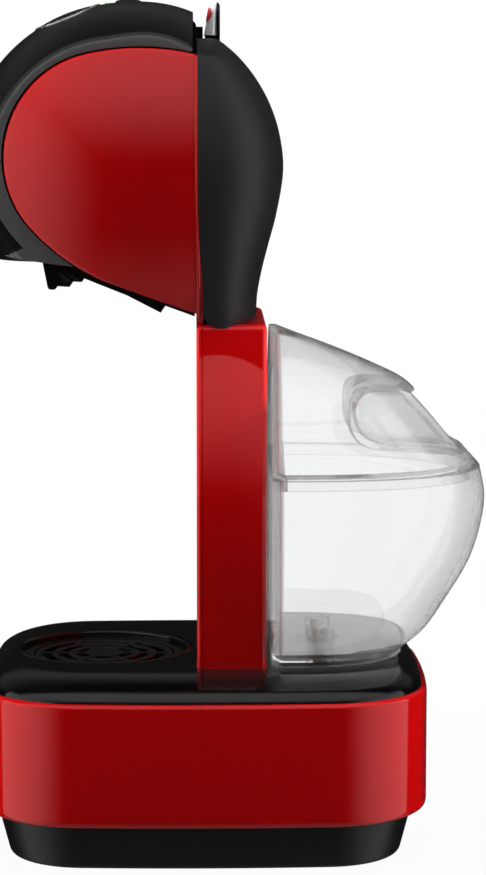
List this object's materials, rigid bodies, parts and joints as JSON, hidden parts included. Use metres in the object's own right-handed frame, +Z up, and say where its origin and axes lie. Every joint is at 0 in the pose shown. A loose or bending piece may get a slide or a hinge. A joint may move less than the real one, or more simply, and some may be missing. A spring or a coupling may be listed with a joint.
{
  "type": "pod coffee machine",
  "caption": "Upright pod coffee machine with a round lift-up head, pull-out pod holder, slim column, clear rear water tank and a base with a round drip grid.",
  "frame": {"origin": "on the surface that the feet stand on, under the middle of the machine's overall box", "axes": "+X from the front to the rear, +Y across to the left side as seen from the front, +Z up"},
  "size_m": [0.203, 0.145, 0.3291],
  "materials": {
    "red_gloss": "deep red high gloss moulding",
    "black_gloss": "piano black high gloss",
    "black_soft": "soft matt black",
    "pan_black": "satin black moulding",
    "rubber": "black rubber",
    "steel": "plain steel",
    "aluminium": "cast aluminium",
    "brass": "turned brass",
    "pump_grey": "moulded coil housing",
    "hose_white": "milky silicone tube",
    "board_green": "circuit board",
    "chrome": "chrome plated plastic",
    "badge_dark": "bare dark plate",
    "lens_green": "green light window",
    "mark_red": "red filled mark",
    "mark_blue": "blue filled mark",
    "clear_plastic": "clear moulded plastic"
  },
  "bodies": {
    "machine": {"base_pan": "pan_black", "rubber_feet": "rubber", "base_screws": "steel", "base_band": "red_gloss", "base_top": "black_gloss", "drip_well": "black_gloss", "cord_gland": "pan_black", "pump_body": "pump_grey", "pump_outlet": "brass", "pump_mounts": "rubber", "suction_hose": "hose_white", "pressure_hose": "hose_white", "tank_inlet": "pan_black", "inlet_seal": "rubber", "column_shell": "red_gloss", "column_back": "pan_black", "column_screws": "steel", "control_board": "board_green", "head_bulkhead": "red_gloss", "head_frame": "pan_black", "head_cowl": "pan_black", "side_panel_right": "red_gloss", "side_panel_left": "red_gloss", "rear_shell": "black_soft", "head_floor": "pan_black", "cheek_right": "black_gloss", "cheek_left": "black_gloss", "handle_pin": "steel", "lever_pin": "steel", "selector_valve": "pump_grey", "thermoblock": "aluminium", "thermostat": "steel"},
    "bowl": {"drip_bowl": "pan_black"},
    "grid": {"drip_grid": "pan_black"},
    "handle": {"locking_handle": "black_gloss", "badge_ring": "chrome", "badge_plate": "badge_dark", "status_lens": "lens_green", "button_board": "board_green"},
    "button": {"power_button": "black_gloss"},
    "lever": {"lever_body": "black_gloss", "lever_cap": "chrome", "hot_mark": "mark_red", "cold_mark": "mark_blue"},
    "injector": {"injector_plate": "pan_black", "injector_needle": "steel", "injector_seal": "rubber"},
    "holder": {"capsule_holder": "pan_black"},
    "tank": {"tank_body": "clear_plastic", "tank_valve": "pan_black"},
    "lid": {"tank_lid": "clear_plastic"},
    "stem": {"valve_stem": "pan_black"}
  },
  "joints": [
    {"name": "handle_lift", "type": "hinge", "parent": "machine", "child": "handle", "pos_m": [-0.014, 0, 0.31814], "axis": [0, 1, 0], "range_deg": [0, 60]},
    {"name": "injector_lift", "type": "slide", "parent": "machine", "child": "injector", "axis": [0, 0, 1], "range_m": [0, 0.006]},
    {"name": "holder_slide", "type": "slide", "parent": "machine", "child": "holder", "axis": [-1, 0, 0], "range_m": [0, 0.06]},
    {"name": "lever_tilt", "type": "hinge", "parent": "machine", "child": "lever", "pos_m": [0, 0, 0.3], "axis": [1, 0, 0], "range_deg": [-12, 12]},
    {"name": "button_press", "type": "slide", "parent": "handle", "child": "button", "axis": [0, 0, -1], "range_m": [0, 0.0012], "stiffness_N_per_m": 800},
    {"name": "tank_pull", "type": "slide", "parent": "machine", "child": "tank", "axis": [0.7071, 0, 0.7071], "range_m": [0, 0.1]},
    {"name": "lid_lift", "type": "slide", "parent": "tank", "child": "lid", "axis": [0, 0, 1], "range_m": [0, 0.03]},
    {"name": "stem_push", "type": "slide", "parent": "tank", "child": "stem", "axis": [0, 0, 1], "range_m": [0, 0.003], "stiffness_N_per_m": 300},
    {"name": "bowl_lift", "type": "slide", "parent": "machine", "child": "bowl", "axis": [0, 0, 1], "range_m": [0, 0.06]},
    {"name": "grid_lift", "type": "slide", "parent": "bowl", "child": "grid", "axis": [0, 0, 1], "range_m": [0, 0.03]}
  ],
  "couplings": [
    {"joint": "injector_lift", "follows": "handle_lift", "m_per_rad": 0.00572}
  ]
}
